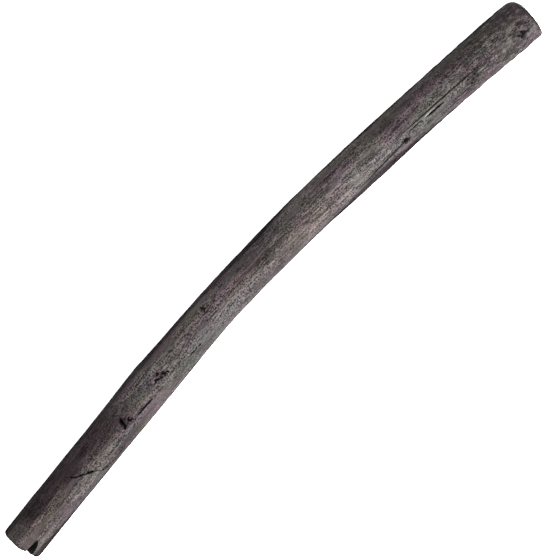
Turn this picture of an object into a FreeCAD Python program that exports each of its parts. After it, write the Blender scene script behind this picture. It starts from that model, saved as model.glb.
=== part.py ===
"""Natural drawing charcoal: one length of peeled willow rod, charred whole.

The stick lies on its side along +X, from the split drawing end (the foot) at -X to the sawn butt at +X.
It is a grown thing, so nothing was assembled. What it comes apart into is its anatomy, from the outside in:
the charred skin, the second year's growth ring, the first year's growth ring, the pith, and the knots where
side shoots and buds left the pith and ran out to the surface. Each of them is a solid of its own, and they
meet face to face. All sizes are in millimetres and degrees. Stations are distances along the centreline from
the foot, and bearings go round the stick from its +Y side, over the top (90), to its -Y side (180).
"""
import FreeCAD, Part
import functools
import math
import os

from FreeCAD import Vector

# The rod's run.
LENGTH = 149.8            # along the centreline
START_HEADING = 4.6       # the foot's run, turned from +X towards +Y
CROOK = (36.0, 106.0, 8.3)  # first station, last station and turn of the bend in the rod's middle
DRIFT = (112.0, 152.0, 2.4)  # the same for the slow bend that follows it
UNDERSIDE_LIFT = 0.24     # how far the underside clears the table between its three resting places

# The rod's thickness.
FOOT_DIAMETER = 8.54
BUTT_DIAMETER = 9.40
SWELLS = (                # station, added diameter, reach along the rod
    (43.0, 0.24, 6.0),    # the swell round the two close knots
    (66.0, -0.58, 10.0),  # the waist after it
    (112.0, 0.12, 9.0),
    (142.5, 0.24, 4.5),   # the flare before the butt
)
OVAL = 0.012              # share of the radius, two lobes
LOBES = 0.008             # share of the radius, three lobes
TWIST = 70.0              # the oval's turn from foot to butt
FOOT_ROUNDING = 0.7       # worn edges
BUTT_ROUNDING = 1.1

# The layers.
SKIN_THICKNESS = 0.40
FIRST_RING_SHARE = 0.52   # of the wood's radius
PITH_SHARE = 0.15

# The split at the foot: bearing, opening, depth towards the pith and length.
SPLIT_BEARING = 123.5
SPLIT_WIDTH = 1.45
SPLIT_DEPTH = 2.70
SPLIT_LENGTH = 3.3
SPLIT_TIP_WIDTH = 0.28
SPLIT_TIP_DEPTH = 0.60

# Drying cracks: (station, bearing) of each end, opening and depth.
CRACKS = {
    "oblique": ((17.6, 70.5), (22.6, 143.0), 0.22, 0.45),
    "oblique_tail": ((22.6, 143.0), (26.5, 151.0), 0.16, 0.30),
    "by_foot_knot": ((34.6, 116.5), (40.4, 118.0), 0.26, 0.50),
    "flank": ((100.4, 139.5), (113.0, 126.5), 0.20, 0.40),
    "ridge": ((114.6, 104.0), (135.0, 106.5), 0.22, 0.35),
    "splinter": ((119.6, 110.5), (125.0, 116.5), 0.30, 0.80),
}

# Knots: station and bearing at the surface, radius there.
KNOTS = {
    "foot_knot": (33.4, 100.5, 1.15),
    "swell_knot": (45.4, 95.5, 1.35),
    "bud_scar": (61.0, 62.0, 0.65),
    "flank_knot": (114.0, 125.5, 0.62),
    "butt_knot": (146.0, 118.5, 0.85),
}
KNOT_LEAN = 1.6           # how far a knot travels towards the butt on its way out
KNOT_ROOT_RADIUS = 0.30

# Drawing resolution.
SECTION_POINTS = 16
FIRST_BEARING = 40.0      # keeps the outlines' joins off the rod's highest and lowest lines
SECTION_SPACING = 5.0
OVERSHOOT = 1.0           # how far cutting shapes pass the faces that they cut
STEP = 0.25               # of the centreline's integration

os.makedirs("parts", exist_ok=True)


def smooth(x):
    x = min(max(x, 0.0), 1.0)
    return x * x * (3 - 2 * x)


def heading(s):
    """The centreline's direction in the XY plane, in radians."""
    turned = sum(turn * smooth((s - first) / (last - first)) for first, last, turn in (CROOK, DRIFT))
    return math.radians(START_HEADING - turned)


def nominal_radius(s):
    along = s / LENGTH
    diameter = FOOT_DIAMETER + (BUTT_DIAMETER - FOOT_DIAMETER) * along
    diameter += sum(added * math.exp(-((s - at) / reach) ** 2 / 2) for at, added, reach in SWELLS)
    return diameter / 2


def surface_radius(s, bearing):
    """The peeled rod's own radius at a station and a bearing in degrees."""
    turn = math.radians(bearing)
    oval = OVAL * math.cos(2 * (turn - math.radians(TWIST) * s / LENGTH))
    lobes = LOBES * math.cos(3 * turn + 1.1)
    return nominal_radius(s) * (1 + oval + lobes)


def run_in_plan(s):
    """The centreline's X and Y at a station, by adding up short straight steps."""
    steps = max(1, int(abs(s) / STEP))
    ds = s / steps
    middles = [(i + 0.5) * ds for i in range(steps)]
    return sum(math.cos(heading(m)) * ds for m in middles), sum(math.sin(heading(m)) * ds for m in middles)


@functools.cache
def centre(s):
    x, y = run_in_plan(s)
    lift = UNDERSIDE_LIFT * (1 - math.cos(4 * math.pi * s / LENGTH)) / 2
    return Vector(x, y, surface_radius(s, 270) + lift)


def point(s, bearing, radius):
    """A point at a station, a bearing and a distance from the centreline."""
    turn = math.radians(bearing)
    across = Vector(-math.sin(heading(s)), math.cos(heading(s)), 0)
    return centre(s) + across * (radius * math.cos(turn)) + Vector(0, 0, radius * math.sin(turn))


def section(s, share, inset):
    """A closed outline round the centreline in four edges: the rod's own, inset and then scaled."""
    bearings = [FIRST_BEARING + 360.0 * i / SECTION_POINTS for i in range(SECTION_POINTS)]
    points = [point(s, b, share * (surface_radius(s, b) - inset)) for b in bearings]
    marks = [i / SECTION_POINTS for i in range(SECTION_POINTS + 1)]
    curve = Part.BSplineCurve()
    curve.interpolate(Points=points, PeriodicFlag=True, Parameters=marks)
    return Part.Wire([Part.Edge(curve, i / 4, (i + 1) / 4) for i in range(4)])


def form(share=1.0, inset=0.0, past_ends=0.0):
    """A solid along the whole rod, longer at both ends where it is to cut or bound others."""
    count = round(LENGTH / SECTION_SPACING)
    stations = [LENGTH * i / count for i in range(count + 1)]
    if past_ends:
        stations = [-past_ends] + stations + [LENGTH + past_ends]
    return Part.makeLoft([section(s, share, inset) for s in stations], True, False, False, 3)


def worn_edge(s, inward, rounding):
    """A ring that wears away a sawn end's edge; inward is +1 at the foot and -1 at the butt."""
    rim = surface_radius(s, 0)
    away = rim + 2 * rounding
    slack = 0.1 * rounding    # carries the arc past the surface, which isn't quite round
    low = rounding * (1 - math.sqrt(0.5))
    arc = [(rim - rounding, 0), (rim - low, low), (rim + slack, rounding + slack)]
    rest = [arc[-1], (away, rounding + slack), (away, -OVERSHOOT), (rim - rounding, -OVERSHOOT), arc[0]]

    along = Vector(math.cos(heading(s)), math.sin(heading(s)), 0) * inward
    middle = centre(s)
    arc, rest = ([middle + along * a + Vector(0, 0, r) for r, a in places] for places in (arc, rest))
    outline = Part.Wire([Part.Arc(*arc).toShape()] + Part.makePolygon(rest).Edges)
    return Part.Face(outline).revolve(middle, along, 360)


def wedge(places):
    """A V-shaped cutter through (station, bearing, opening, depth) places along the rod."""
    outlines = []
    for s, bearing, opening, depth in places:
        skin = surface_radius(s, bearing)
        half = math.degrees(opening / 2 / skin)
        reach = 1 + OVERSHOOT / depth
        corners = [
            point(s, bearing, skin - depth),
            point(s, bearing - half * reach, skin + OVERSHOOT),
            point(s, bearing + half * reach, skin + OVERSHOOT),
        ]
        outlines.append(Part.makePolygon(corners + corners[:1]))
    return Part.makeLoft(outlines, True, True)


def split():
    return wedge([
        (-OVERSHOOT, SPLIT_BEARING, SPLIT_WIDTH, SPLIT_DEPTH),
        (SPLIT_LENGTH / 2, SPLIT_BEARING, SPLIT_WIDTH * 0.86, SPLIT_DEPTH * 0.75),
        (SPLIT_LENGTH, SPLIT_BEARING, SPLIT_TIP_WIDTH, SPLIT_TIP_DEPTH),
    ])


def crack(first, last, opening, depth):
    """A drying crack, widest in its middle and closing to a hair at both ends."""
    places = []
    for share in (0.0, 0.25, 0.5, 0.75, 1.0):
        open_here = 0.15 + 0.85 * math.sin(math.pi * share)
        s, bearing = (a + (b - a) * share for a, b in zip(first, last))
        places.append((s, bearing, opening * open_here, depth * open_here))
    return wedge(places)


def knot(station, bearing, radius):
    """A cone from the pith out through the surface, leaning towards the butt."""
    root = point(station - KNOT_LEAN, bearing, 0)
    tip = point(station, bearing, surface_radius(station, bearing))
    way = tip - root
    reach = way.Length + OVERSHOOT
    growth = (radius - KNOT_ROOT_RADIUS) / way.Length
    return Part.makeCone(KNOT_ROOT_RADIUS, KNOT_ROOT_RADIUS + growth * reach, reach, root, way)


def without(shape, tools):
    """The shape less those of the tools that reach it."""
    for tool in tools:
        if shape.BoundBox.intersect(tool.BoundBox):
            shape = shape.cut(tool)
    return shape


def one(shape):
    """The shape as a single solid where it is one, or a compound of its solids."""
    solids = shape.Solids
    return solids[0] if len(solids) == 1 else Part.makeCompound(solids)


def build():
    rod = form()
    wood = form(1.0, SKIN_THICKNESS, OVERSHOOT)
    first_ring = form(FIRST_RING_SHARE, SKIN_THICKNESS, OVERSHOOT)
    pith = form(PITH_SHARE, SKIN_THICKNESS, OVERSHOOT)
    nodes = {
        "charred_skin": rod.cut(wood),
        "outer_growth_ring": rod.common(wood).cut(first_ring),
        "inner_growth_ring": rod.common(first_ring).cut(pith),
        "pith_core": rod.common(pith),
    }

    knots = {name: knot(*place) for name, place in KNOTS.items()}
    for layer in ("charred_skin", "outer_growth_ring", "inner_growth_ring"):
        nodes[layer] = without(nodes[layer], knots.values())
    for name, cone in knots.items():
        nodes[name] = cone.common(rod).cut(pith)

    openings = [worn_edge(0, 1, FOOT_ROUNDING), worn_edge(LENGTH, -1, BUTT_ROUNDING), split()]
    openings += [crack(*place) for place in CRACKS.values()]
    nodes = {name: without(shape, openings) for name, shape in nodes.items()}

    box = rod.optimalBoundingBox()
    home = Vector(-box.Center.x, -box.Center.y, -box.ZMin)
    for name, shape in nodes.items():
        shape = one(shape)
        shape.translate(home)
        shape.exportStep(f"parts/{name}.step")
        print(f"{name:20s} solids {len(shape.Solids)} valid {shape.isValid()} volume {shape.Volume:9.2f}")
    print("rod", [round(v, 3) for v in (box.XLength, box.YLength, box.ZLength)], "home", home)


build()
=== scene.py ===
"""The looks of a stick of natural drawing charcoal: one peeled willow rod, charred in one piece.

Each layer of the rod and each knot is a closed mesh of its own, with the grain's relief, the drying cracks,
the split and the sawn ends in its geometry. Lengths are in millimetres until a mesh is made. A place on the
rod is a station (the distance along the centreline from the split foot), a bearing (degrees round the rod:
0 at +Y, 90 on top, 180 at -Y) and a distance from the centreline.
"""
import math

import bmesh
import bpy
import numpy as np
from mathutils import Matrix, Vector


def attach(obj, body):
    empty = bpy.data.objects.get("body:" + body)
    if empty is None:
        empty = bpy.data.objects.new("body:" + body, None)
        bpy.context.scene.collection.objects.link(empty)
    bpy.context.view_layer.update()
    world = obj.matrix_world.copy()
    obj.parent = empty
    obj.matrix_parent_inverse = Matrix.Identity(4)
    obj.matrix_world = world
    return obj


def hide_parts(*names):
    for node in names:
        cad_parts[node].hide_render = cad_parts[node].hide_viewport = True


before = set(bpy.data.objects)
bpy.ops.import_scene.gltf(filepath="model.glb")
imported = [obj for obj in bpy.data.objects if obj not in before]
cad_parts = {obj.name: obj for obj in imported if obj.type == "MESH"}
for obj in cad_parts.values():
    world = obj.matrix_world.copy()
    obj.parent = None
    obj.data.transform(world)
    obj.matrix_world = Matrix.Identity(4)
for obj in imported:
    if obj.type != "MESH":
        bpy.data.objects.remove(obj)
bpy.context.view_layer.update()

MM = 0.001

# ---------------------------------------------------------------- the rod's form, as in the part

LENGTH = 149.8
START_HEADING = 4.6
TURNS = ((36.0, 106.0, 8.3), (112.0, 152.0, 2.4))     # first station, last station, degrees
RUN_SAMPLES = 6001        # along the centreline, from RUN_MARGIN before the foot to as far past the butt
RUN_MARGIN = 5
UNDERSIDE_LIFT = 0.24
FOOT_DIAMETER = 8.54
BUTT_DIAMETER = 9.40
SWELLS = ((43.0, 0.24, 6.0), (66.0, -0.58, 10.0), (112.0, 0.12, 9.0), (142.5, 0.24, 4.5))
OVAL = 0.012
LOBES = 0.008
TWIST = 70.0
SKIN_THICKNESS = 0.40
FIRST_RING_SHARE = 0.52
PITH_SHARE = 0.15
KNOT_LEAN = 1.6
KNOT_ROOT_RADIUS = 0.30


def smooth(x):
    """An eased step from 0 to 1."""
    x = np.clip(x, 0.0, 1.0)
    return x * x * (3 - 2 * x)


def bell(x):
    """A rounded hump: 1 in the middle, 0.6 at 1 and almost 0 at 3."""
    return np.exp(-0.5 * np.square(x))


def heading(s):
    """The centreline's direction in the XY plane, in radians."""
    return np.radians(START_HEADING - sum(turn * smooth((s - a) / (b - a)) for a, b, turn in TURNS))


def nominal_radius(s):
    """The mean radius at a station: the rod widens towards the butt, with a few swells and a waist."""
    diameter = FOOT_DIAMETER + (BUTT_DIAMETER - FOOT_DIAMETER) * s / LENGTH
    return (diameter + sum(added * bell((s - at) / reach) for at, added, reach in SWELLS)) / 2


def surface_radius(s, bearing):
    """The plain rod's radius: a little oval, with three faint lobes."""
    turn = np.radians(bearing)
    oval = OVAL * np.cos(2 * (turn - math.radians(TWIST) * s / LENGTH))
    return nominal_radius(s) * (1 + oval + LOBES * np.cos(3 * turn + 1.1))


def wood_radius(s, bearing):
    """The outside of the second year's wood, just under the skin."""
    return surface_radius(s, bearing) - SKIN_THICKNESS


STATIONS = np.linspace(-RUN_MARGIN, LENGTH + RUN_MARGIN, RUN_SAMPLES)
RUN_STEP = STATIONS[1] - STATIONS[0]
RUN_X, RUN_Y = (np.cumsum(way(heading(STATIONS - RUN_STEP / 2))) * RUN_STEP for way in (np.cos, np.sin))
RUN_X, RUN_Y = (run - np.interp(0, STATIONS, run) for run in (RUN_X, RUN_Y))


def centre(s):
    """The centreline's points: the rod lies on three places of its underside."""
    lift = UNDERSIDE_LIFT * (1 - np.cos(4 * math.pi * s / LENGTH)) / 2
    x, y = np.interp(s, STATIONS, RUN_X), np.interp(s, STATIONS, RUN_Y)
    return np.stack([x, y, surface_radius(s, 270) + lift], -1)


def put(s, bearing, radius):
    """Points before they are moved home."""
    s, bearing, radius = np.broadcast_arrays(s, bearing, radius)
    turn, way = np.radians(bearing), heading(s)
    level = radius * np.cos(turn)
    return centre(s) + np.stack([-np.sin(way) * level, np.cos(way) * level, radius * np.sin(turn)], -1)


def find_home():
    """The frame's origin is the bottom centre of the plain rod's box."""
    s, bearing = np.meshgrid(np.linspace(0, LENGTH, 1501), np.linspace(0, 360, 361))
    plain = put(s, bearing, surface_radius(s, bearing)).reshape(-1, 3)
    lo, hi = plain.min(0), plain.max(0)
    return np.array([-(lo[0] + hi[0]) / 2, -(lo[1] + hi[1]) / 2, -lo[2]])


HOME = find_home()


def place(s, bearing, radius):
    """Points of the finished model, in metres."""
    points = put(s, bearing, radius) + HOME
    points[..., 2] = np.maximum(points[..., 2], 0)
    return points * MM


def locate(points):
    """The stations, bearings and radii of points given in metres."""
    points = points / MM - HOME
    s = np.interp(points[:, 0], RUN_X, STATIONS)
    for _ in range(4):
        way, off = heading(s), points - centre(s)
        s = s + off[:, 0] * np.cos(way) + off[:, 1] * np.sin(way)
    way, off = heading(s), points - centre(s)
    level = off[:, 1] * np.cos(way) - off[:, 0] * np.sin(way)
    return s, np.degrees(np.arctan2(off[:, 2], level)) % 360, np.hypot(level, off[:, 2])


def across(bearing, middle, radius):
    """The distance round the surface from one bearing to others, signed."""
    return radius * np.radians((bearing - middle + 180) % 360 - 180)


# ---------------------------------------------------------------- noise

def hashed(cell, seed):
    """A repeatable number from -1 to 1 for each whole-numbered cell."""
    h = (cell @ np.array([73856093, 19349663, 83492791])) ^ (seed * 2654435761 & 0x7FFFFFFF)
    h = ((h ^ (h >> 13)) * 1274126177) & 0x7FFFFFFF
    h = ((h ^ (h >> 15)) * 668265263) & 0x7FFFFFFF
    return (h & 0xFFFF) / 32767.5 - 1


def noise(points, sizes, seed):
    """Smooth noise from -1 to 1; sizes are the blobs' sizes along the rod and across it."""
    points = points / np.array([sizes[0], sizes[1], sizes[1]])
    cell = np.floor(points).astype(np.int64)
    part = points - cell
    part = part ** 3 * (part * (6 * part - 15) + 10)
    total = 0
    for corner in np.ndindex(2, 2, 2):
        weight = np.prod(np.where(np.array(corner) == 1, part, 1 - part), axis=-1)
        total = total + weight * hashed(cell + np.array(corner), seed)
    return total


# ---------------------------------------------------------------- what is where on the surface

# Knots: station and bearing at the surface, radius there.
KNOTS = {
    "foot_knot": (33.4, 100.5, 1.15),
    "swell_knot": (45.4, 95.5, 1.35),
    "bud_scar": (61.0, 62.0, 0.65),
    "flank_knot": (114.0, 125.5, 0.62),
    "butt_knot": (146.0, 118.5, 0.85),
}

KNOT_COLUMNS = 48
KNOT_GAP = 0.014          # how much wider a knot's hole is, as a share of the knot's radius
# How far the middle of each knot lies under the skin round it, which also darkens it with painted shade.
KNOT_SINKS = {"foot_knot": 0.08, "swell_knot": 0.0, "bud_scar": 0.02, "flank_knot": 0.45, "butt_knot": 0.22}

# Cracks: the stations and bearings they run through, opening, depth, how jagged, how beaded.
CRACKS = {
    "oblique": (((17.3, 70), (19.9, 99), (21.9, 123), (23.6, 146), (25.2, 156)), 0.52, 0.50, 0.17, 0.80),
    "oblique_tail": (((22.6, 134), (24.3, 145), (27.0, 152), (29.5, 153)), 0.56, 0.46, 0.08, 0.70),
    "foot_knot_stroke": (((33.6, 82), (33.3, 95), (32.6, 113)), 1.05, 0.50, 0.10, 0.25),
    "foot_knot_hook": (((34.9, 98), (34.3, 106), (35.4, 111)), 0.66, 0.45, 0.08, 0.40),
    "by_foot_knot": (((36.2, 114.5), (38.6, 116), (40.9, 118)), 0.48, 0.55, 0.04, 0.15),
    "swell_knot_upper": (((43.3, 98), (44.2, 90)), 0.55, 0.45, 0.12, 0.50),
    "swell_knot_top": (((44.6, 86), (45.6, 83)), 0.48, 0.40, 0.08, 0.40),
    "swell_knot_lower": (((45.7, 93), (46.4, 99), (47.2, 106)), 0.62, 0.50, 0.10, 0.60),
    "swell_knot_fleck": (((44.2, 96), (45.1, 98)), 0.45, 0.40, 0.06, 0.40),
    "after_swell": (((51.6, 123), (54.1, 124)), 0.36, 0.40, 0.04, 0.40),
    "bud_scar_hook": (((60.9, 52), (61.2, 62), (60.9, 75)), 0.56, 0.50, 0.12, 0.40),
    "flank": (((100.4, 139.5), (107.0, 132.0), (113.6, 126.0)), 0.34, 0.45, 0.05, 0.30),
    "flank_knot_legs": (((113.0, 119), (113.9, 126), (115.2, 129)), 0.34, 0.45, 0.06, 0.30),
    "ridge": (((114.2, 104), (124.0, 105.0), (130.5, 106.5), (135.5, 106)), 0.34, 0.32, 0.04, 0.22),
    "splinter_upper": (((115.6, 112.5), (119.2, 113)), 0.28, 0.42, 0.03, 0.30),
    "splinter_lower": (((120.2, 114.5), (124.9, 116.5)), 0.54, 0.58, 0.03, 0.30),
    "upper_streak": (((134.4, 42), (138.0, 43)), 0.24, 0.35, 0.03, 0.25),
    "butt_knot_hook": (((144.6, 112), (145.9, 119.5), (147.3, 121)), 0.55, 0.45, 0.12, 0.50),
}
CRACK_STEP = 0.42
CRACK_CLEARANCE = 0.35    # how far a crack's cutter stands out of the rod
SPLIT_MOUTH = (113.0, 136.5)  # the bearings of its two sides at the foot
SPLIT_TIP = 119.0         # the bearing at which it closes
SPLIT_FLOOR = 1.5         # radius of its floor at the foot
SPLIT_END_FLOOR = 3.4     # and where it ends
SPLIT_TOP = 5.2           # the radius of its cutter's top, outside the rod
SPLIT_LENGTH = 3.9
GRAIN_SPLITS = 150        # fine lengthwise splits all over the skin
DENTS = 150               # shallow dents, most of them near the butt
PITS = 60                 # sharp little pits, thickest near the butt
PIT_SIZES = (0.10, 0.20)  # the smallest and largest radius of a pit that is on its own
# Close groups of pits: station, bearing, reach along and round the rod in mm, how many.
PIT_GROUPS = (
    (132.2, 121.0, 1.3, 0.75, 14), (146.0, 118.0, 1.5, 0.7, 8), (45.2, 94.0, 1.1, 0.6, 6),
    (54.5, 126.0, 0.8, 0.4, 3),
)
GROUP_PIT_SIZES = (0.24, 0.35)
# Rows of small pits along the grain: first station, bearing, how many.
PIT_ROWS = (
    (2.0, 80, 6), (3.5, 89, 5), (15.0, 82, 6), (13.8, 112, 4), (22.3, 91, 6), (28.4, 94, 4), (22.7, 62, 4),
)
MORE_PIT_ROWS = 26
ROW_PIT_SIZES = (0.13, 0.18)
ROW_PIT_SPACING = 0.62
PIT_SIDES = 7
PIT_DEEPEST = 0.36
PIT_RIM = (0.30, 1.08)    # a pit cutter's height over the skin, and its width there as a share of the pit's
PIT_FLOOR_SPREAD = 0.70   # the width of a pit's floor, as the same share
AVERAGE_RADIUS = 4.5      # for turning lengths round the rod into bearings
RAISED_FIBRE = (121.3, 111.6)      # the pale fibre that stands up beside the splinter's crack, with a painted highlight along it
# Where soot has gathered: station, bearing, reach along and round the rod in mm, how much.
SOOTY = (
    (33.3, 97.0, 0.75, 0.95, 0.9), (34.9, 105.0, 0.7, 0.5, 0.7), (45.3, 95.0, 1.2, 0.8, 0.45),
    (61.0, 63.0, 0.30, 0.7, 0.5), (54.3, 126.0, 0.6, 0.3, 0.6), (114.1, 125.0, 0.8, 0.45, 0.8),
    (132.2, 121.0, 1.0, 0.6, 1.4), (146.0, 118.0, 1.3, 0.8, 0.7), (112.0, 127.0, 1.6, 0.25, 0.6),
    (136.3, 42.5, 1.8, 0.3, 0.7), (23.6, 62.0, 0.8, 0.4, 0.9), (113.4, 61.0, 0.9, 0.7, 1.0),
)


def grain_place(s, bearing, radius):
    """Coordinates of the straightened rod: the grain runs along the first axis and bows round the knots."""
    level = np.zeros_like(s)
    for at, towards, size in KNOTS.values():
        ds, dy = s - at, across(bearing, towards, radius)
        bow = 0.5 * size * bell(ds / (2.2 * size)) * bell(dy / (1.8 * size))
        level = level - bow * np.tanh(dy / size)
    turn = np.radians(bearing) + level / np.maximum(radius, 0.5)
    return np.stack([s, radius * np.cos(turn), radius * np.sin(turn)], -1)


def foot_shade(s, bearing):
    """Where painted shade darkens the top of the foot's far side; the skin is also smoother there."""
    border = 73 + 22 * smooth((s - 10) / 24) + 3 * np.sin(s / 3.1) + 2 * np.sin(s / 1.3)
    length = smooth((s - 1.5) / 6) * (1 - smooth((s - 31) / 9))
    return (1 - smooth((bearing - border) / 14)) * length


def whole_skin(s, bearing):
    """Painted shade: the foot's, and more along both lower sides of the rod and under it."""
    edge = 30 - 16 * smooth((s - 78) / 14) + 2.5 * np.sin(s / 5.3) + 1.5 * np.sin(s / 1.7)
    lower = 160 - 32 * bell((s - 107) / 9) - 30 * bell(s / 9)
    # Painted shade along both lower sides and under the rod.
    under = np.maximum(1 - smooth((bearing - edge) / 17), smooth((bearing - lower) / 22))
    return np.maximum(foot_shade(s, bearing), 1.17 * under)


def butt_roughness(s):
    """How rough and dented the skin has become: not at all in the middle, fully at the butt."""
    return smooth((s - 118) / 26)


def raised_fibre_and_highlight(s, bearing):
    """Where the one raised fibre is, with its painted highlight."""
    at, towards = RAISED_FIBRE
    return bell((s - at) / 1.3) * bell(across(bearing, towards, 4.6) / 0.15)


def relief(s, bearing):
    """How far the skin stands out from the plain rod."""
    radius = surface_radius(s, bearing)
    at = grain_place(s, bearing, radius)
    fibrous = 1 - 0.75 * foot_shade(s, bearing)
    rough = butt_roughness(s)
    height = 0.075 * noise(at, (13.0, 4.5), 1) + 0.040 * noise(at, (7.0, 1.7), 2)
    height += fibrous * (0.034 * noise(at, (8.0, 0.75), 3) + 0.034 * noise(at, (2.6, 0.42), 4))
    height += (0.014 + 0.040 * rough) * noise(at, (1.1, 0.8), 5)
    height += (0.008 + 0.020 * fibrous + 0.030 * rough) * noise(at, (0.8, 0.42), 6)

    rng = np.random.default_rng(11)
    for _ in range(GRAIN_SPLITS):
        start, length, towards = rng.uniform(0, LENGTH), rng.uniform(1.5, 9), rng.uniform(0, 360)
        depth, drift = rng.uniform(0.03, 0.10), rng.uniform(-3, 3)
        share = (s - start) / length
        near = (share > 0) & (share < 1)
        off = across(bearing[near], towards + drift * share[near], radius[near])
        height[near] -= depth * np.sin(np.pi * share[near]) * bell(off / 0.10) * fibrous[near]
    for _ in range(DENTS):
        start = LENGTH - 3 - 60 * rng.uniform() ** 2.2
        towards, size = rng.uniform(0, 360), rng.uniform(0.18, 0.34)
        near = np.abs(s - start) < 4 * size
        off = across(bearing[near], towards, radius[near])
        height[near] -= 0.40 * size * bell((s[near] - start) / (1.3 * size)) * bell(off / size)
    height += 0.12 * raised_fibre_and_highlight(s, bearing)
    for at_s, towards, size in KNOTS.values():
        gone = np.hypot(s - at_s, across(bearing, towards, radius))
        height += 0.05 * size * bell((gone - 1.15 * size) / (0.45 * size))
    return height


# ---------------------------------------------------------------- the sawn ends

FOOT, BUTT = 0, 1         # the two ends, as shares of the rod's length
FOOT_SHORT = 0.22         # how far the whole foot is worn back
TONGUE_SHORT = 0.40       # how much more the tongue under the split is


def end_rounding(end, bearing):
    """The radius of a sawn end's worn edge."""
    turn = np.radians(bearing)
    if end == FOOT:
        return 0.72 + 0.08 * np.cos(5 * turn)
    worn, crisp = np.maximum(np.cos(turn - 0.3), 0) ** 3, np.maximum(-np.cos(turn), 0) ** 2
    return 1.10 + 1.10 * worn - 0.60 * crisp + 0.10 * np.cos(4 * turn + 1)


def end_depth(end, bearing, radius, rim):
    """How far a sawn end lies inside the rod's nominal end at a bearing and a radius."""
    bearing, radius, rim = np.broadcast_arrays(bearing, radius, rim)
    rounding = end_rounding(end, bearing)
    over = np.clip(radius - (rim - rounding), 0, rounding)
    depth = rounding - np.sqrt(np.maximum(rounding ** 2 - over ** 2, 0))
    turn = np.radians(bearing)
    level = radius * np.cos(turn)
    if end == FOOT:
        depth = depth + FOOT_SHORT + TONGUE_SHORT * smooth((0.1 - level) / 2.4)
    at = np.stack([radius * 0 + 40.0 * end, level, radius * np.sin(turn)], -1)
    spokes = np.stack([turn * 9, radius * 0.5, radius * 0 + 9.0], -1)
    rough = 0.05 * noise(at, (1.0, 0.9), 21) + 0.030 * noise(at, (1.0, 0.28), 22)
    rough = rough + 0.025 * noise(spokes, (0.25, 1.0), 23)
    return depth + np.maximum(0.06 + rough, 0) * smooth((rim - radius) / 0.3 + 0.3)


# ---------------------------------------------------------------- meshes

def bearings(count):
    """Bearings round the rod, closest together on its upper side, where it is looked at most."""
    fine = np.linspace(0, 360, 3601)
    grown = np.cumsum(1 + 0.45 * np.cos(np.radians(fine - 110)))
    grown = (grown - grown[0]) / (grown[-1] - grown[0])
    return np.interp(np.arange(count) / count, grown, fine)


def make_object(name, points, faces):
    """A mesh object in the scene, from points in metres."""
    mesh = bpy.data.meshes.new(name)
    mesh.from_pydata(points.reshape(-1, 3).tolist(), [], faces)
    mesh.update()
    obj = bpy.data.objects.new(name, mesh)
    bpy.context.scene.collection.objects.link(obj)
    return obj


def bands(rows, count, closed=False):
    """Quads between rings of count points; closed joins the last ring to the first."""
    faces = []
    for i in range(rows if closed else rows - 1):
        a, b = i * count, (i + 1) % rows * count
        faces += [(a + k, a + (k + 1) % count, b + (k + 1) % count, b + k) for k in range(count)]
    return faces


def bag(name, rings):
    """A closed mesh of open rings, with a middle point at each end."""
    rows, count = rings.shape[:2]
    points = np.concatenate([rings.reshape(-1, 3), [rings[0].mean(0), rings[-1].mean(0)]])
    first, last = rows * count, rows * count + 1
    faces = bands(rows, count)
    faces += [(first, (k + 1) % count, k) for k in range(count)]
    base = (rows - 1) * count
    faces += [(last, base + k, base + (k + 1) % count) for k in range(count)]
    return turned_outwards(make_object(name, points, faces))


def turned_outwards(obj):
    """The same closed mesh with its faces looking outwards."""
    turned = bmesh.new()
    turned.from_mesh(obj.data)
    if turned.calc_volume(signed=True) < 0:
        bmesh.ops.reverse_faces(turned, faces=turned.faces)
        turned.to_mesh(obj.data)
    turned.free()
    return obj


def end_ring(end, bound, ring_bearings):
    """The stations and radii at which a bound of a layer meets a sawn end."""
    rim = surface_radius(np.full_like(ring_bearings, LENGTH * end), ring_bearings)
    s = np.full_like(ring_bearings, LENGTH * end)
    for _ in range(3):
        radius = bound(s, ring_bearings)
        depth = end_depth(end, ring_bearings, radius, rim)
        s = depth if end == FOOT else LENGTH - depth
    return s, radius


def end_face(end, outside, inside, ring_bearings, count):
    """Rings over a sawn end, from a layer's outside to its inside, closest at the worn edge."""
    rim = surface_radius(np.full_like(ring_bearings, LENGTH * end), ring_bearings)
    shares = 1 - np.cos(np.linspace(0, math.pi / 2, count + 2)[1:-1, None])
    radius = outside + (inside - outside) * shares
    depth = end_depth(end, ring_bearings[None, :], radius, rim)
    return place(depth if end == FOOT else LENGTH - depth, ring_bearings[None, :], radius)


MIDDLE_HOLE = 0.03        # the radius of a solid layer's last ring, which a middle point closes


def layer_rings(inner, outer, columns, outer_count, inner_count, face_count):
    """A layer's rings: along its outside to the butt, over the butt, back along its inside and over the foot.

    inner and outer take stations and bearings and give radii. Without an inner bound, the layer is solid.
    """
    ring_bearings = bearings(columns)

    def along(bound, count):
        share = np.linspace(0, 1, count)[:, None]
        (foot, _), (butt, _) = (end_ring(end, bound, ring_bearings) for end in (FOOT, BUTT))
        near_foot, near_butt = 1 - smooth(share * LENGTH / 4), 1 - smooth((1 - share) * LENGTH / 4)
        s = share * LENGTH + foot * near_foot + (butt - LENGTH) * near_butt
        radius = bound(s, np.broadcast_to(ring_bearings, s.shape))
        return place(s, ring_bearings, radius), radius[0], radius[-1]

    outside, foot_out, butt_out = along(outer, outer_count)
    if inner is None:
        over_foot, over_butt = (end_face(end, edge, MIDDLE_HOLE, ring_bearings, face_count)
                                for end, edge in ((FOOT, foot_out), (BUTT, butt_out)))
        return np.concatenate([over_foot[::-1], outside, over_butt])
    inside, foot_in, butt_in = along(inner, inner_count)
    return np.concatenate([
        outside, end_face(BUTT, butt_out, butt_in, ring_bearings, face_count),
        inside[::-1], end_face(FOOT, foot_out, foot_in, ring_bearings, face_count)[::-1],
    ])


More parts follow.
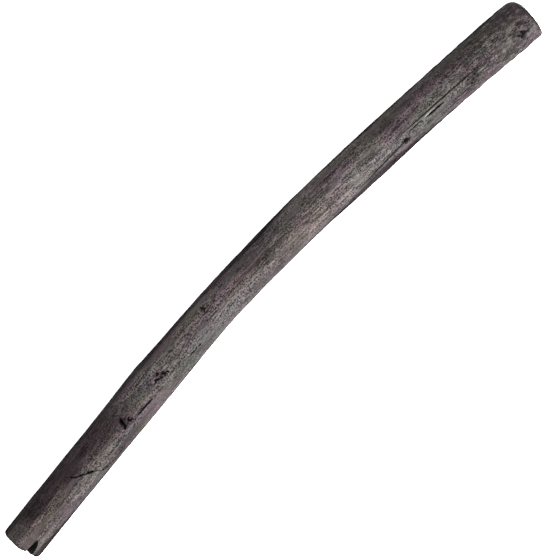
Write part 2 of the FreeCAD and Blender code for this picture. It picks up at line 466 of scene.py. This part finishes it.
def layer(name, inner, outer, columns, outer_count, inner_count, face_count):
    """A layer's closed mesh, from its bounds and its numbers of columns and rings."""
    rings = layer_rings(inner, outer, columns, outer_count, inner_count, face_count)
    if inner is None:
        return bag(name, rings)
    return make_object(name, rings, bands(len(rings), columns, True))


# ---------------------------------------------------------------- knots, cracks and the split

def knot_outline(name, grow):
    """A knot's outline at the surface: angles round its middle and the reach at each."""
    at, towards, size = KNOTS[name]
    phi = np.linspace(0, 2 * math.pi, KNOT_COLUMNS, endpoint=False)
    lobes = 1 + 0.09 * np.cos(2 * phi + at) + 0.05 * np.cos(3 * phi + towards)
    return phi, size * lobes * grow


def knot_sides(name, grow, low, high, count):
    """Rings of a knot from the pith outwards, up to the height high over the rod's surface."""
    at, towards, size = KNOTS[name]
    phi, outline = knot_outline(name, grow)
    top = surface_radius(np.array([at]), towards)[0]
    rings = []
    for share in np.linspace(0, 1, count):
        reach = KNOT_ROOT_RADIUS + (outline - KNOT_ROOT_RADIUS) * share
        level = low + (top - low) * share
        s = at - KNOT_LEAN * (1 - share) + reach * np.cos(phi)
        bearing = towards + np.degrees(reach * np.sin(phi) / max(level, 1.0))
        rings.append((s, bearing, level + 0 * s))
    if high:
        s, bearing, level = rings[-1]
        rings.append((s, bearing, level + high))
    return rings


def knot_cutter(name):
    """The hole that a knot sits in."""
    rings = knot_sides(name, 1 + KNOT_GAP, 0.45, 0.9, 6)
    return bag(name + "_cutter", np.array([place(*ring) for ring in rings]))


def knot_piece(name):
    """A knot, from the pith to a sunken top that carries the skin's relief."""
    at, towards, size = KNOTS[name]
    phi, outline = knot_outline(name, 1.0)
    rings = [place(*ring) for ring in knot_sides(name, 1.0, PITH_SHARE * 4.2 + 0.02, 0, 9)[:-1]]
    for share in np.linspace(1, 0.04, 16):
        reach = outline * share
        s, off = at + reach * np.cos(phi), reach * np.sin(phi)
        radius = surface_radius(s, towards)
        bearing = towards + np.degrees(off / radius)
        sink = KNOT_SINKS[name] * bell(reach / (0.55 * size))
        rings.append(place(s, bearing, surface_radius(s, bearing) + relief(s, bearing) - sink))
    return bag(name + "_wood", np.array(rings))


def crack_cutter(name):
    """A jagged V along the rod's surface, closing to a hair at both ends."""
    path, opening, depth, jag, bead = CRACKS[name]
    rng = np.random.default_rng(sum(map(ord, name)))
    corner_s, corner_b = np.array(path, float).T
    legs = np.hypot(np.diff(corner_s), np.radians(np.diff(corner_b)) * 4.4)
    reached = np.concatenate([[0], np.cumsum(legs)])
    count = max(7, round(reached[-1] / CRACK_STEP))
    share = np.linspace(0, 1, count)
    s = np.interp(share * reached[-1], reached, corner_s)
    bearing = np.interp(share * reached[-1], reached, corner_b)
    radius = surface_radius(s, bearing)
    slope = np.arctan2(np.gradient(np.radians(bearing)) * radius, np.gradient(s))
    shift = jag * rng.uniform(-1, 1, count) + jag * np.sin(share * rng.uniform(5, 9))
    width = np.sqrt(np.sin(math.pi * (0.03 + 0.94 * share))) * (1 + bead * rng.uniform(-1, 0.4, count))
    half, deep = opening * width / 2, depth * (0.3 + 0.7 * width)
    rings = []
    for side, height in ((0, -1), (-1, 1), (1, 1)):
        out = side * half * (1 + CRACK_CLEARANCE / deep) + shift
        ring_s = s - out * np.sin(slope)
        ring_b = bearing + np.degrees(out * np.cos(slope) / radius)
        rings.append(place(ring_s, ring_b, radius + (CRACK_CLEARANCE if height > 0 else -deep)))
    return bag(name + "_cutter", np.stack(rings, 1))


def pit_places():
    """The stations, bearings and radii of all the sharp pits, none of them touching another."""
    rng = np.random.default_rng(29)
    tries = [(LENGTH - 2 - 120 * rng.uniform() ** 2, rng.uniform(10, 170), rng.uniform(*PIT_SIZES))
             for _ in range(PITS)]
    for at, towards, along, over, count in PIT_GROUPS:
        tries += [(at + along * rng.uniform(-1, 1),
                   towards + math.degrees(over * rng.uniform(-1, 1) / AVERAGE_RADIUS),
                   rng.uniform(*GROUP_PIT_SIZES)) for _ in range(3 * count)]
    more_rows = tuple((rng.uniform(5, 142), rng.uniform(55, 150), rng.integers(4, 7))
                      for _ in range(MORE_PIT_ROWS))
    for first, towards, count in PIT_ROWS + more_rows:
        tries += [(first + ROW_PIT_SPACING * k + rng.uniform(-0.05, 0.05), towards + rng.uniform(-1.2, 1.2),
                   rng.uniform(*ROW_PIT_SIZES)) for k in range(count)]
    kept = []
    for s, bearing, size in tries:
        gaps = [math.hypot(s - a, math.radians(bearing - b) * AVERAGE_RADIUS) - 1.45 * (size + c)
                for a, b, c in kept]
        if s < LENGTH - 1.8 and min(gaps, default=1) > 0.05:
            kept.append((s, bearing, size))
    return kept


def pit_cutter():
    """One mesh of all the pits: ragged, blunt cones that narrow into the skin."""
    rng = np.random.default_rng(31)
    turn = np.linspace(0, 2 * math.pi, PIT_SIDES, endpoint=False)
    points, faces = [], []
    for s, bearing, size in pit_places():
        reach = size * rng.uniform(0.6, 1.25, PIT_SIDES)
        radius = surface_radius(np.array([s]), bearing)[0]
        deep = min(1.3 * size + 0.14, PIT_DEEPEST)
        base = len(points)
        for height, spread in (PIT_RIM, (-deep, PIT_FLOOR_SPREAD)):
            ring_s = s + 1.35 * spread * reach * np.cos(turn)
            ring_b = 0.85 * spread * reach * np.sin(turn) / radius
            points += place(ring_s, bearing + np.degrees(ring_b), radius + height + 0 * turn).tolist()
        faces.append(tuple(base + k for k in range(PIT_SIDES)))
        faces.append(tuple(base + 2 * PIT_SIDES - 1 - k for k in range(PIT_SIDES)))
        for k in range(PIT_SIDES):
            after = (k + 1) % PIT_SIDES
            faces.append((base + after, base + k, base + PIT_SIDES + k, base + PIT_SIDES + after))
    return turned_outwards(make_object("pit_cutter", np.array(points), faces))


def split_cutter():
    """The split in the foot: a rough, blunt wedge that closes along the grain."""
    rng = np.random.default_rng(5)
    share = np.concatenate([[-0.25, 0.0], np.linspace(0.15, 0.75, 5), np.linspace(0.82, 1, 5)])
    inward = np.clip(share, 0, 1)
    low = SPLIT_MOUTH[0] + (SPLIT_TIP - 1.5 - SPLIT_MOUTH[0]) * inward ** 2
    high = SPLIT_MOUTH[1] + (SPLIT_TIP + 1.5 - SPLIT_MOUTH[1]) * (0.10 * inward + 0.90 * inward ** 6)
    rough = rng.uniform(-0.6, 0.6, (2, len(share))) * (inward > 0) * (inward < 1)
    low, high = low + rough[0], high + rough[1]
    floor_radius = SPLIT_FLOOR + (SPLIT_END_FLOOR - SPLIT_FLOOR) * inward ** 3
    middle, half = (low + high) / 2, (high - low) / 2
    s = share * SPLIT_LENGTH
    corners = [
        (middle - 0.7 * half, floor_radius), (low, SPLIT_TOP), (high, SPLIT_TOP),
        (middle + 0.7 * half, floor_radius),
    ]
    return bag("split_cutter", np.stack([place(s, bearing, radius) for bearing, radius in corners], 1))


TWIN_EASE = 0.05          # share of the way to its neighbours' middle that a touching corner moves


def carve(target, cutters):
    """Cuts closed meshes out of a closed mesh."""
    for cutter in cutters:
        cut = target.modifiers.new(cutter.name, "BOOLEAN")
        cut.operation, cut.solver, cut.object = "DIFFERENCE", "MANIFOLD", cutter
    carved = target.evaluated_get(bpy.context.evaluated_depsgraph_get())
    mesh = bpy.data.meshes.new_from_object(carved)
    target.modifiers.clear()
    target.data = mesh
    clean_up(mesh)


def clean_up(mesh):
    """Triangulates a carved mesh, drops its flaps (faces back to back) and parts its twins."""
    trimmed = bmesh.new()
    trimmed.from_mesh(mesh)
    bmesh.ops.triangulate(trimmed, faces=trimmed.faces, quad_method="FIXED", ngon_method="EAR_CLIP")
    on_corners = {}
    for face in trimmed.faces:
        on_corners.setdefault(frozenset(corner.index for corner in face.verts), []).append(face)
    flaps = [face for faces in on_corners.values() if len(faces) > 1 for face in faces]
    bmesh.ops.delete(trimmed, geom=flaps, context="FACES")
    part_twins(trimmed)
    trimmed.to_mesh(mesh)
    trimmed.free()


def part_twins(trimmed):
    """Parts surfaces that touch: corners at one place each move a little towards their neighbours' middle."""
    at_place = {}
    for corner in trimmed.verts:
        at_place.setdefault(tuple(corner.co), []).append(corner)
    twins = [corner for corners in at_place.values() if len(corners) > 1 for corner in corners]
    eased = []
    for corner in twins:
        around = [edge.other_vert(corner).co for edge in corner.link_edges]
        middle = sum(around[1:], around[0].copy()) / len(around)
        eased.append(corner.co.lerp(middle, TWIN_EASE))
    for corner, new_place in zip(twins, eased):
        corner.co = new_place


# ---------------------------------------------------------------- the pieces

SOOT_LOWERING = 0.11      # how much lower, in mm, full soot makes the skin look
SHARP_ANGLE = 50          # edges sharper than this are shaded as edges


def finish_piece(obj, node, material):
    """Gives a piece its fields, its finish and its place in the frame."""
    mesh = obj.data
    points = np.empty(len(mesh.vertices) * 3)
    mesh.vertices.foreach_get("co", points)
    s, bearing, radius = locate(points.reshape(-1, 3))
    plain = surface_radius(s, bearing)
    level = radius - plain - SOOT_LOWERING * soot(s, bearing)
    fields = {
        "grain": grain_place(s, bearing, radius),
        # Painted shade, then the butt's roughness and the pale flank.
        "shade_and_wear": np.stack([whole_skin(s, bearing), butt_roughness(s), pale_flank(s, bearing)], -1),
        "level": np.stack([level, warm_patches(s, bearing), cool_patches(s, bearing)], -1),
        "streak": np.stack([umber_streaks(s, bearing), s * 0, s * 0], -1),
    }
    for name, values in fields.items():
        mesh.attributes.new(name, "FLOAT_VECTOR", "POINT").data.foreach_set("vector", values.ravel())
    mesh.shade_smooth()
    mesh.set_sharp_from_angle(angle=math.radians(SHARP_ANGLE))
    mesh.materials.clear()
    mesh.materials.append(material)
    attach(obj, "root")
    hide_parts(node)


def soot(s, bearing):
    """How dark the skin is with soot round its marks, from 0 to about 1."""
    total = 0 * s
    for at, towards, along, over, strength in SOOTY:
        fading = strength * bell((s - at) / along)
        total = total + fading * bell(across(bearing, towards, AVERAGE_RADIUS) / over)
    return total


def pale_flank(s, bearing):
    """Where the skin is worn thin and the fibres show paler: the ridge and the flank under it; also the
    raised fibre's painted highlight.
    """
    along = 0.72 + 0.50 * bell((s - 88) / 14) + 0.35 * bell((s - 18) / 4) - 0.85 * bell((s - 30) / 6)
    along = along - 0.20 * bell((s - 42) / 4) - 0.60 * bell((s - 66) / 5) - 0.35 * bell(s / 6)
    along = along - 0.45 * bell((s - 129) / 7)
    round_rod = np.maximum(bell((bearing - 126) / 24), 0.5 * bell((bearing - 92) / 28))
    return round_rod * np.maximum(along, 0) + 2.6 * raised_fibre_and_highlight(s, bearing)


def warm_patches(s, bearing):
    """Where the skin is browner, past the middle and at the foot."""
    foot = 0.9 * bell((s - 9) / 6) * bell((bearing - 92) / 16)
    return bell((s - 87) / 6) * bell((bearing - 118) / 16) + foot


def umber_streaks(s, bearing):
    """Where dark brown streaks run between the paler fibres, in the rod's middle."""
    streaks = bell((s - 73) / 8) * bell((bearing - 84) / 7) + bell((s - 92) / 7) * bell((bearing - 96) / 3.5)
    return streaks + 0.5 * bell((s - 62) / 4) * bell((bearing - 100) / 4)


def cool_patches(s, bearing):
    """Where the skin is greyer and a little green."""
    butt_side = 0.8 * bell((s - 122) / 7) * bell((bearing - 118) / 14)
    return bell((s - 56) / 6) * bell((bearing - 125) / 20) + butt_side


# ---------------------------------------------------------------- materials

def node(tree, kind, inputs=None, out=0, **settings):
    """A shader node's output. Inputs are sockets to link or values to set."""
    made = tree.nodes.new("ShaderNode" + kind)
    for key, value in settings.items():
        setattr(made, key, value)
    for key, value in (inputs or {}).items():
        if isinstance(value, bpy.types.NodeSocket):
            tree.links.new(value, made.inputs[key])
        else:
            made.inputs[key].default_value = value
    return made.outputs[out] if made.outputs else None


def calc(tree, operation, a, b=0.0):
    """A Math node's result, from one or two sockets or numbers."""
    return node(tree, "Math", {0: a, 1: b}, operation=operation)


def weighted(tree, *terms):
    """The sum of (value, weight) terms."""
    total = None
    for value, weight in terms:
        term = calc(tree, "MULTIPLY", value, weight)
        total = term if total is None else calc(tree, "ADD", total, term)
    return total


def mixed(tree, share, a, b, how="MIX"):
    """Colour a turning into colour b as the share goes from 0 to 1."""
    return node(tree, "Mix", {0: share, 6: a, 7: b}, out=2, data_type="RGBA", blend_type=how)


def ranged(tree, value, low, high, to_low=0.0, to_high=1.0):
    """An eased passage from to_low, where the value is low or less, to to_high, where it is high or more."""
    sockets = {0: value, 1: low, 2: high, 3: to_low, 4: to_high}
    return node(tree, "MapRange", sockets, interpolation_type="SMOOTHSTEP")


def speckle(tree, grain, along, over, detail=2.0, offset=0.0, roughness=0.5):
    """Noise whose blobs are that many millimetres along the grain and across it."""
    scale = (1 / along, 1 / over, 1 / over)
    scaled = node(tree, "Mapping", {0: grain, 1: (offset, offset, offset), 3: scale})
    return node(tree, "TexNoise", {"Vector": scaled, "Scale": 1.0, "Detail": detail, "Roughness": roughness})


# Colours: linear red, green and blue.
# Painted shade for the wood inside the split and the cracks.
SPLIT_AND_CRACK_SHADE = (0.0016, 0.0014, 0.0014)
SKIN = {
    "purplish": (0.0240, 0.0160, 0.0197), "brownish": (0.0220, 0.0195, 0.0162),
    "grey_band": (0.0225, 0.0225, 0.0224), "mauve_blotch": (0.0285, 0.0195, 0.0211),
    "purplish_fibre": (0.0425, 0.0355, 0.0366), "brownish_fibre": (0.0405, 0.0368, 0.0350),
    "warm_patch": (0.0460, 0.0345, 0.0310), "cool_patch": (0.0290, 0.0325, 0.0310),
    # The raised fibre's colour is pale fibre brightened into a painted highlight.
    "umber": (0.0125, 0.0075, 0.0070), "raised_fibre_and_highlight": (0.100, 0.093, 0.090),
    # Painted shade: the last two colours darken the foot's far side and the lower sides.
    "whole": (0.0120, 0.0089, 0.0099), "underside": (0.0122, 0.0100, 0.0111),
}
# The dark and light colours of each wood, and its pores'.
WOOD = ((0.010, 0.0085, 0.0085), (0.030, 0.026, 0.024), (0.005, 0.0045, 0.0045))
HEARTWOOD = ((0.008, 0.007, 0.007), (0.024, 0.021, 0.020), (0.004, 0.004, 0.004))
PITH = ((0.004, 0.0036, 0.0036), (0.012, 0.010, 0.010), (0.003, 0.003, 0.003))
KNOT_SHADE = 0.82         # the knots' brightness, as a share of the skin's


def tint(r, g, b):
    """A colour as sockets take it."""
    return (r, g, b, 1.0)


def new_material(name):
    """A material with an empty node tree."""
    material = bpy.data.materials.new(name)
    material.use_nodes = True
    tree = material.node_tree
    tree.nodes.clear()
    return material, tree


def field(tree, name):
    """One of the fields that finish_piece stores on the mesh."""
    return node(tree, "Attribute", attribute_name=name, out=1)


def shaded(tree, colour, roughness, height, distance, specular):
    """Ends a material: its surface, with a bump as deep as the distance in metres."""
    bump = node(tree, "Bump", {"Strength": 1.0, "Distance": distance, "Height": height})
    shader = node(tree, "BsdfPrincipled", {
        "Base Color": colour, "Roughness": roughness, "Normal": bump, "Specular IOR Level": specular,
    })
    node(tree, "OutputMaterial", {"Surface": shader})


def skin_material(name, shade=1.0):
    """Charred cambium: gritty and finely streaked, paler where fibres show, with dark purplish painted shade
    on the foot's far side and along the lower sides.
    """
    material, tree = new_material(name)
    grain = field(tree, "grain")
    # Painted shade, the butt's roughness and the pale flank.
    shade_and_wear = node(tree, "SeparateXYZ", {0: field(tree, "shade_and_wear")})
    whole, rough, pale = shade_and_wear, shade_and_wear.node.outputs[1], shade_and_wear.node.outputs[2]
    level = node(tree, "SeparateXYZ", {0: field(tree, "level")})
    warm, cool = level.node.outputs[1], level.node.outputs[2]

    patches = speckle(tree, grain, 9, 3.0, 2.0, 3.0)
    blotches = speckle(tree, grain, 3.5, 1.6, 3.0, 31.0)
    grey_bands = speckle(tree, grain, 18, 1.5, 2.0, 17.0)
    mottle = speckle(tree, grain, 1.5, 1.1, 3.0, 23.0, 0.6)
    streaks = speckle(tree, grain, 9, 0.60, 3.0, 9.0, 0.6)
    fibres = speckle(tree, grain, 2.6, 0.32, 2.0, 1.0, 0.6)
    grit = speckle(tree, grain, 0.34, 0.26, 1.0, 5.0, 0.65)
    rubbed = speckle(tree, grain, 7, 2.2, 1.0, 41.0)

    tints = {key: tint(*rgb) for key, rgb in SKIN.items()}
    colour = mixed(tree, ranged(tree, patches, 0.38, 0.62), tints["purplish"], tints["brownish"])
    colour = mixed(tree, ranged(tree, grey_bands, 0.50, 0.66, 0.0, 0.7), colour, tints["grey_band"])
    colour = mixed(tree, ranged(tree, blotches, 0.54, 0.72, 0.0, 0.8), colour, tints["mauve_blotch"])
    showing = calc(tree, "MULTIPLY", pale, ranged(tree, streaks, 0.30, 0.60, 0.45, 1.0))
    fibre_share = ranged(tree, patches, 0.40, 0.58)
    fibre_tint = mixed(tree, fibre_share, tints["purplish_fibre"], tints["brownish_fibre"])
    colour = mixed(tree, showing, colour, fibre_tint)
    colour = mixed(tree, calc(tree, "MULTIPLY", warm, 0.65), colour, tints["warm_patch"])
    colour = mixed(tree, calc(tree, "MULTIPLY", cool, 0.50), colour, tints["cool_patch"])
    umber = node(tree, "SeparateXYZ", {0: field(tree, "streak")})
    umber = calc(tree, "MULTIPLY", umber, ranged(tree, fibres, 0.38, 0.60, 1.0, 0.15))
    colour = mixed(tree, umber, colour, tints["umber"])
    # Painted highlight along the raised fibre.
    colour = mixed(tree, ranged(tree, pale, 1.4, 2.4), colour, tints["raised_fibre_and_highlight"])
    # Painted shade, dark and purplish: on the foot's far side, and darker along the lower sides.
    colour = mixed(tree, calc(tree, "MULTIPLY", whole, 0.85), colour, tints["whole"])
    colour = mixed(tree, ranged(tree, whole, 1.0, 1.17), colour, tints["underside"])

    contrast = weighted(tree, (streaks, 0.8), (fibres, 1.25), (grit, 2.3))
    lines = ranged(tree, contrast, 1.86, 2.49, 0.20, 1.96)
    rubbed_share = ranged(tree, rubbed, 0.47, 0.66, 0.0, 0.70)
    calm = calc(tree, "MAXIMUM", calc(tree, "MULTIPLY", whole, 0.35), rubbed_share)
    calm = calc(tree, "MAXIMUM", calm, calc(tree, "MULTIPLY", pale, 0.20))
    lines = node(tree, "Mix", {0: calm, 2: lines, 3: 1.0}, data_type="FLOAT")
    # Painted shade in hollows, painted light on ridges, near-black painted shade in cracks and pits; soot
    # darkens too.
    relief_shading_and_soot = ranged(tree, level, -0.10, 0.10, 0.50, 1.35)
    crack_shade_and_soot = ranged(tree, level, -0.28, -0.12, 0.04, 1.0)
    mottled = calc(tree, "MULTIPLY", rough, ranged(tree, mottle, 0.40, 0.60, 0.45, -0.10))
    tone = calc(tree, "MULTIPLY", calc(tree, "MULTIPLY", lines, relief_shading_and_soot), crack_shade_and_soot)
    tone = calc(tree, "MULTIPLY", tone, calc(tree, "SUBTRACT", shade, mottled))
    colour = mixed(tree, 1.0, colour, node(tree, "CombineColor", {0: tone, 1: tone, 2: tone}), "MULTIPLY")

    roughness = ranged(tree, fibres, 0.3, 0.7, 0.55, 0.75)
    height = weighted(tree, (fibres, 0.7), (grit, 0.9), (streaks, 0.5))
    specular = ranged(tree, whole, 0.1, 1.17, 0.05, 0.0)
    shaded(tree, colour, roughness, height, 0.18 * MM, specular)
    return material


def wood_material(name, dark, light, pore_colour):
    """Charred wood: rayed and pored where it is cut across, with painted shade inside the split and the
    cracks.
    """
    material, tree = new_material(name)
    grain = field(tree, "grain")
    station = node(tree, "SeparateXYZ", {0: grain})
    y, z = station.node.outputs[1], station.node.outputs[2]
    radius = calc(tree, "SQRT", calc(tree, "ADD", calc(tree, "MULTIPLY", y, y), calc(tree, "MULTIPLY", z, z)))
    turn = calc(tree, "ARCTAN2", z, y)

    ray_place = node(tree, "CombineXYZ", {
        0: calc(tree, "MULTIPLY", turn, 13.0), 1: calc(tree, "MULTIPLY", radius, 0.35),
    })
    rays = node(tree, "TexNoise", {"Vector": ray_place, "Scale": 1.6, "Detail": 2.0})
    ring_place = node(tree, "CombineXYZ", {
        0: calc(tree, "MULTIPLY", radius, 2.4), 1: calc(tree, "MULTIPLY", turn, 0.4),
    })
    rings = node(tree, "TexNoise", {"Vector": ring_place, "Scale": 1.0, "Detail": 2.0})
    pore_place = node(tree, "Mapping", {0: grain, 3: (0.05, 6.0, 6.0)})
    pores = node(tree, "TexVoronoi", {"Vector": pore_place, "Scale": 1.0}, feature="F1")
    dust = speckle(tree, grain, 1.2, 0.8, 3.0, 7.0, 0.6)

    light_share = weighted(tree, (rays, 0.9), (rings, 0.7), (dust, 0.8))
    colour = mixed(tree, ranged(tree, light_share, 1.02, 1.42), tint(*dark), tint(*light))
    colour = mixed(tree, ranged(tree, pores, 0.10, 0.36, 0.85, 0.0), colour, tint(*pore_colour))
    # Painted shade on the wood away from the sawn ends: inside the split and the cracks.
    inside = calc(tree, "MINIMUM", station, calc(tree, "SUBTRACT", LENGTH, station))
    colour = mixed(tree, ranged(tree, inside, 0.5, 1.0), colour, tint(*SPLIT_AND_CRACK_SHADE))
    height = weighted(tree, (rays, 0.8), (pores, 0.7))
    shaded(tree, colour, 0.6, height, 0.10 * MM, 0.10)
    return material


# ---------------------------------------------------------------- the stick

def skin_radius(s, bearing):
    """The rod's radius with its relief."""
    return surface_radius(s, bearing) + relief(s, bearing)


def first_ring_radius(s, bearing):
    """The outside of the first year's wood."""
    return FIRST_RING_SHARE * wood_radius(s, bearing)


def pith_radius(s, bearing):
    """The outside of the pith."""
    return PITH_SHARE * wood_radius(s, bearing)


# Each layer's inside and outside; then columns round it, rings outside, rings inside and rings over each end.
skin = layer("skin", wood_radius, skin_radius, 216, 368, 24, 6)
second_year = layer("second_year_wood", first_ring_radius, wood_radius, 160, 200, 30, 24)
first_year = layer("first_year_wood", pith_radius, first_ring_radius, 96, 60, 30, 16)
pith = layer("pith", None, pith_radius, 48, 60, 0, 8)
knots = {name: knot_piece(name) for name in KNOTS}

knot_cutters = [knot_cutter(name) for name in KNOTS]
crack_cutters = [crack_cutter(name) for name in CRACKS]
split, pits = split_cutter(), pit_cutter()
for piece in (skin, second_year, first_year):
    carve(piece, knot_cutters + crack_cutters + [split])
for piece in (skin, *knots.values()):
    carve(piece, [pits])
for knot in knots.values():
    carve(knot, crack_cutters)
for cutter in knot_cutters + crack_cutters + [split, pits]:
    bpy.data.objects.remove(cutter)

wood_finish = wood_material("charred_wood_finish", *WOOD)
heart_finish = wood_material("charred_heartwood_finish", *HEARTWOOD)
pith_finish = wood_material("charred_pith_finish", *PITH)

finish_piece(skin, "charred_skin", skin_material("charred_skin_finish"))
finish_piece(second_year, "outer_growth_ring", wood_finish)
finish_piece(first_year, "inner_growth_ring", heart_finish)
finish_piece(pith, "pith_core", pith_finish)
knot_finish = skin_material("charred_knot_finish", KNOT_SHADE)
for name, knot in knots.items():
    finish_piece(knot, name, knot_finish)

# ---------------------------------------------------------------- floor, light and camera

VIEW_WIDTH = 0.11362      # what the picture's width spans at the stick's middle height
VIEW_CENTRE = Vector((0.00100, -0.00298, 0.0047))
VIEW_ROLL = -46.28
LENS = 150.0
SENSOR = 36.0


def plain_floor():
    """The white surface that the stick lies on."""
    bpy.ops.mesh.primitive_plane_add(size=3.0, location=(0, 0, 0))
    floor = bpy.context.object
    floor.name = "floor"
    material, tree = new_material("floor_finish")
    shader = node(tree, "BsdfPrincipled", {"Base Color": tint(0.9, 0.9, 0.9), "Roughness": 0.9})
    node(tree, "OutputMaterial", {"Surface": shader})
    floor.data.materials.append(material)


def softbox(name, position, size, watts):
    """A round soft light that looks at the stick's middle."""
    light = bpy.data.lights.new(name, "AREA")
    light.shape, light.size, light.energy = "DISK", size, watts
    lamp = bpy.data.objects.new(name, light)
    lamp.location = position
    lamp.rotation_euler = Vector(position).to_track_quat("Z", "Y").to_euler()
    bpy.context.scene.collection.objects.link(lamp)


def studio():
    """The floor, the two lights and the white surroundings."""
    plain_floor()
    softbox("key", (0.0, -0.50, 0.42), 0.45, 14.0)
    softbox("top", (0.0, 0.05, 0.80), 0.60, 8.0)
    world = bpy.data.worlds.new("studio")
    world.use_nodes = True
    world.node_tree.nodes["Background"].inputs[0].default_value = tint(1.0, 1.0, 1.0)
    world.node_tree.nodes["Background"].inputs[1].default_value = 1.2
    bpy.context.scene.world = world
    bpy.context.scene.view_settings.view_transform = "Standard"


def camera():
    """A camera straight above the stick."""
    made = bpy.data.cameras.new("camera")
    made.lens, made.sensor_width = LENS, SENSOR
    obj = bpy.data.objects.new("camera", made)
    obj.location = VIEW_CENTRE + Vector((0, 0, VIEW_WIDTH * LENS / SENSOR))
    obj.rotation_euler = (0, 0, math.radians(VIEW_ROLL))
    made.clip_start, made.clip_end = 0.01, 10
    bpy.context.scene.collection.objects.link(obj)
    bpy.context.scene.camera = obj


studio()
camera()
